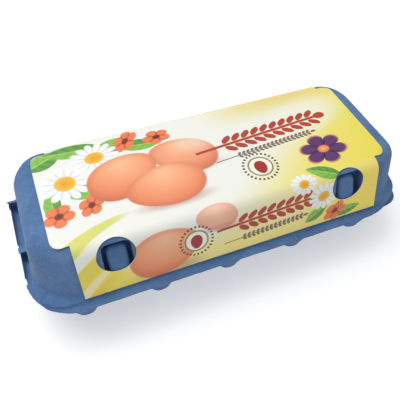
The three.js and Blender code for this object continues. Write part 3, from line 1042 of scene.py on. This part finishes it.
def print_egg(sheet, centre, length, width, angle, strength=1, haze=0):
    """A brown egg that lies on the page, with its light from above and a soft shadow below."""
    x, t = centre
    below = sheet.local((x + EGG_BELOW["right"], t - width * EGG_BELOW["down"]),
                        (length * EGG_BELOW["length"], width * EGG_BELOW["width"]))
    sheet.paint(EGG_SHADOW, distance(*below).fades(*EGG_BELOW["outline"]) * EGG_BELOW["strength"] * strength)
    u, v = sheet.local(centre, (length / 2, width / 2), angle)
    radius = distance(u, v / (u * -EGG["taper"] + 1))
    light = distance(*sheet.local((x + length * EGG_LIGHT["right"], t + width * EGG_LIGHT["up"]),
                                  (length * EGG_LIGHT["length"], width * EGG_LIGHT["width"])))
    shell = sheet.ramp(light, EGG_TONES)
    edge = radius.fades(*EGG["edge"]) * EGG["edge_strength"]
    shell = mixed(sheet.tree, shell, EGG_EDGE, edge)
    sheet.paint(shell, radius.fades(*EGG["outline"]) * strength)
    if haze:
        corner = sheet.local((x + length * EGG_HAZE["right"], t + width * EGG_HAZE["up"]),
                             (length / 2, width / 2))
        mask = distance(*corner).fades(*EGG_HAZE["outline"]) * radius.fades(*EGG["outline"])
        sheet.paint(HAZE, mask * haze)


def print_wheat(sheet, centre, length, width, angle, colour, grains):
    """An ear of wheat: slanting grains in pairs up a stem."""
    u, v = sheet.local(centre, (length, width), angle)
    cell = length / grains
    lean = GRAIN["lean"] * DEGREE
    along = ((u + 0.5) * grains).math("FRACT") * cell - cell / 2
    outward = abs(v) * width - width * GRAIN["outward"]
    long = along * math.cos(lean) + outward * math.sin(lean)
    wide = outward * math.cos(lean) - along * math.sin(lean)
    grain = distance(long / (width * GRAIN["length"]), wide / (cell * GRAIN["width"]))
    sheet.paint(colour, grain.fades(*GRAIN["outline"]) * abs(u).fades(*GRAIN["reach"]))
    stem = abs(v).fades(*STEM["half"]) * abs(u + STEM["start"]).fades(*STEM["reach"])
    sheet.paint(colour, stem)
    tip = distance((u - TIP["place"]) * length / (cell * TIP["length"]), v / TIP["width"])
    sheet.paint(colour, tip.fades(*GRAIN["outline"]))


def print_badge(sheet, centre, size):
    """A round seal with an egg inside and dashes round it."""
    u, v = sheet.local(centre, (size, size))
    radius = distance(u, v)
    turns = (v.math("ARCTAN2", u) * (BADGE["dashes"] / 2 / math.pi)).math("FRACT")
    ticks = abs(turns - 0.5).fades(*BADGE["dash_gap"])
    sheet.paint(BADGE_DASH, abs(radius - BADGE["dash_radius"]).fades(*BADGE["dash_half"]) * ticks)
    sheet.paint(BADGE_GROUND, radius.fades(*BADGE["disc"]))
    sheet.paint(BADGE_RING, abs(radius - 1).fades(*BADGE["ring"]))
    egg = distance(u * SEAL_EGG["across"], v / (v * -SEAL_EGG["taper"] + 1) * SEAL_EGG["along"])
    sheet.paint(BADGE_EGG, egg.fades(*SEAL_EGG["outline"]))


# What each side of the sheet shows, in the order of printing: a motif, its centre and its looks
TOP_PAGE = (
    (print_leaf, (-99, 66), 26, 13, 24),
    (print_leaf, (-80, 69), 38, 12, 176),
    (print_leaf, (-56, 66), 30, 11, 10),
    (print_leaf, (-100, 30), 24, 10, 84),
    (print_leaf, (-84, 36), 34, 13, 152),
    (print_leaf, (-40, 61), 30, 10, 172),
    (print_flower, (-98, 21), (9.5, 8), 5, POPPY, 20, POPPY_HEART),
    (print_flower, (-79, 23), (9, 7), 5, POPPY, 48, POPPY_HEART),
    (print_flower, (-47, 67), (11, 6.5), 5, POPPY, 50, POPPY_HEART),
    (print_flower, (-27, 64), (9.5, 6.5), 5, POPPY, 5, POPPY_HEART),
    (print_flower, (-90, 44), (16, 14.5), 13, DAISY, 0, 0.4),
    (print_flower, (-69, 59), (16, 12.5), 14, DAISY, 9, DAISY_HEART),
    (print_egg, (-16, 43), 44, 29, 160, 0.95, 0.5),
    (print_egg, (-56, 39), 47, 32, 22),
    (print_egg, (-34, 23), 50, 32, 184),
    (print_wheat, (46, 44), 70, 15, 4, WHEAT_BROWN, 10),
    (print_wheat, (43, 32), 54, 5, 4, STALK_GREY, 18),
    (print_badge, (25, 17), 7.6),
    (print_flower, (70, 17), (17, 13), 6, PLUM_RIM, 10),
    (print_flower, (70, 17), (15.8, 11.8), 6, PLUM, 10, 0.26),
)
FRONT_PAGE = (
    (print_egg, (-14, -9), 26, 17, 172, 0.7),
    (print_egg, (-47, -22), 44, 30, 12, 0.95),
    (print_badge, (-28, -21), 7),
    (print_wheat, (24, -17), 50, 13, 3, WHEAT_BROWN, 8),
    (print_wheat, (22, -28), 42, 4.4, 3, STALK_GREY, 14),
    (print_leaf, (60, -1), 24, 9, 152),
    (print_leaf, (52, -29), 18, 8, 30),
    (print_leaf, (74, -33), 22, 7, 8),
    (print_flower, (66, -31), (9, 6), 5, POPPY, 30, POPPY_HEART),
    (print_flower, (44, -5), (9, 7), 12, DAISY, 0, DAISY_HEART),
    (print_flower, (57, -17), (10.5, 9.5), 13, DAISY, 10, DAISY_HEART),
)
BACK_PAGE = (
    (print_wheat, (-8, 90), 62, 13, 182, WHEAT_BROWN, 10),
    (print_wheat, (-5, 101), 46, 4.4, 182, STALK_GREY, 15),
    (print_badge, (44, 93), 7),
    (print_leaf, (-62, 99), 22, 8, 20),
    (print_leaf, (-86, 91), 24, 9, 160),
    (print_leaf, (70, 98), 26, 10, 172),
    (print_flower, (-80, 99), (9, 6), 5, POPPY, 30, POPPY_HEART),
    (print_flower, (-71, 88), (11, 10), 13, DAISY, 0, DAISY_HEART),
    (print_flower, (78, 91), (11, 10), 12, DAISY, 8, DAISY_HEART),
)


def print_material():
    material, tree, shader = new_material("printed_label_paper")
    sheet = Print(tree, PAPER_WHITE)
    print_ground(sheet)
    print_bands(sheet)
    for motif, *looks in TOP_PAGE + FRONT_PAGE + BACK_PAGE:
        motif(sheet, *looks)
    tree.links.new(sheet.colour, shader.inputs["Base Color"])
    shader.inputs["Roughness"].default_value = 0.42
    shader.inputs["Specular IOR Level"].default_value = 0.35
    place = tree.nodes.new("ShaderNodeTexCoord").outputs["Object"]
    add_bump(tree, shader, noise_value(tree, place, *PAPER_NOISE), **PAPER_BUMP)
    return material


# Camera, in millimetres, floor and light

CAMERA_PLACE = (-91.576, -190.466, 284.118)
CAMERA_RIGHT = (0.92829775, -0.37079094, 0.0278813)
CAMERA_DOWN = (-0.26946885, -0.72250685, -0.63668704)
CAMERA_AHEAD = (0.25622221, 0.583522, -0.7706181)
FOCAL_LENGTH = 43.489
SENSOR_WIDTH = 36
CLIP_START = 0.01
FLOOR_HALF = 3000
FLOOR_GREY = 0.6
FLOOR_GLOW = 0.5
WORLD_GLOW = 0.28
LIGHT_SIZE = 1.2
LIGHT_TARGET = (0, 0, 0.03)


def make_camera():
    camera = bpy.data.cameras.new("camera")
    camera.sensor_width = SENSOR_WIDTH
    camera.sensor_fit = "HORIZONTAL"
    camera.lens = FOCAL_LENGTH
    camera.clip_start = CLIP_START
    obj = bpy.data.objects.new("camera", camera)
    bpy.context.scene.collection.objects.link(obj)
    axes = [CAMERA_RIGHT, [-v for v in CAMERA_DOWN], [-v for v in CAMERA_AHEAD]]
    matrix = Matrix([[axes[c][r] for c in range(3)] for r in range(3)]).to_4x4()
    matrix.translation = Vector(CAMERA_PLACE) * MM
    obj.matrix_world = matrix
    bpy.context.scene.camera = obj


def make_floor():
    material, tree, shader = new_material("studio_floor")
    shader.inputs["Base Color"].default_value = (FLOOR_GREY, FLOOR_GREY, FLOOR_GREY, 1)
    shader.inputs["Emission Color"].default_value = (1, 1, 1, 1)
    shader.inputs["Emission Strength"].default_value = FLOOR_GLOW
    shader.inputs["Roughness"].default_value = 0.9
    corners = [(x * FLOOR_HALF, y * FLOOR_HALF, 0) for x, y in ((-1, -1), (1, -1), (1, 1), (-1, 1))]
    floor = mesh_object("floor", corners, [(0, 1, 2, 3)])
    floor.data.materials.append(material)


def area_light(name, place, power):
    light = bpy.data.lights.new(name, "AREA")
    light.shape = "SQUARE"
    light.size = LIGHT_SIZE
    light.energy = power
    obj = bpy.data.objects.new(name, light)
    bpy.context.scene.collection.objects.link(obj)
    obj.location = place
    obj.rotation_euler = (Vector(LIGHT_TARGET) - Vector(place)).to_track_quat("-Z", "Y").to_euler()


def make_light():
    world = bpy.data.worlds.new("studio")
    world.use_nodes = True
    background = world.node_tree.nodes["Background"]
    background.inputs["Color"].default_value = (1, 1, 1, 1)
    background.inputs["Strength"].default_value = WORLD_GLOW
    bpy.context.scene.world = world
    bpy.context.scene.view_settings.view_transform = "Standard"
    area_light("key", (-0.5, 0.48, 1.4), 15.5)
    area_light("top", (0, -0.05, 1.5), 6)


def main():
    make_camera()
    make_floor()
    make_light()
    pulp = pulp_material()
    make_tray(pulp)
    make_lid(pulp)
    make_latch_tab(-1, "latch_tab_left", pulp)
    make_latch_tab(1, "latch_tab_right", pulp)
    make_label(print_material(), core_material())


main()
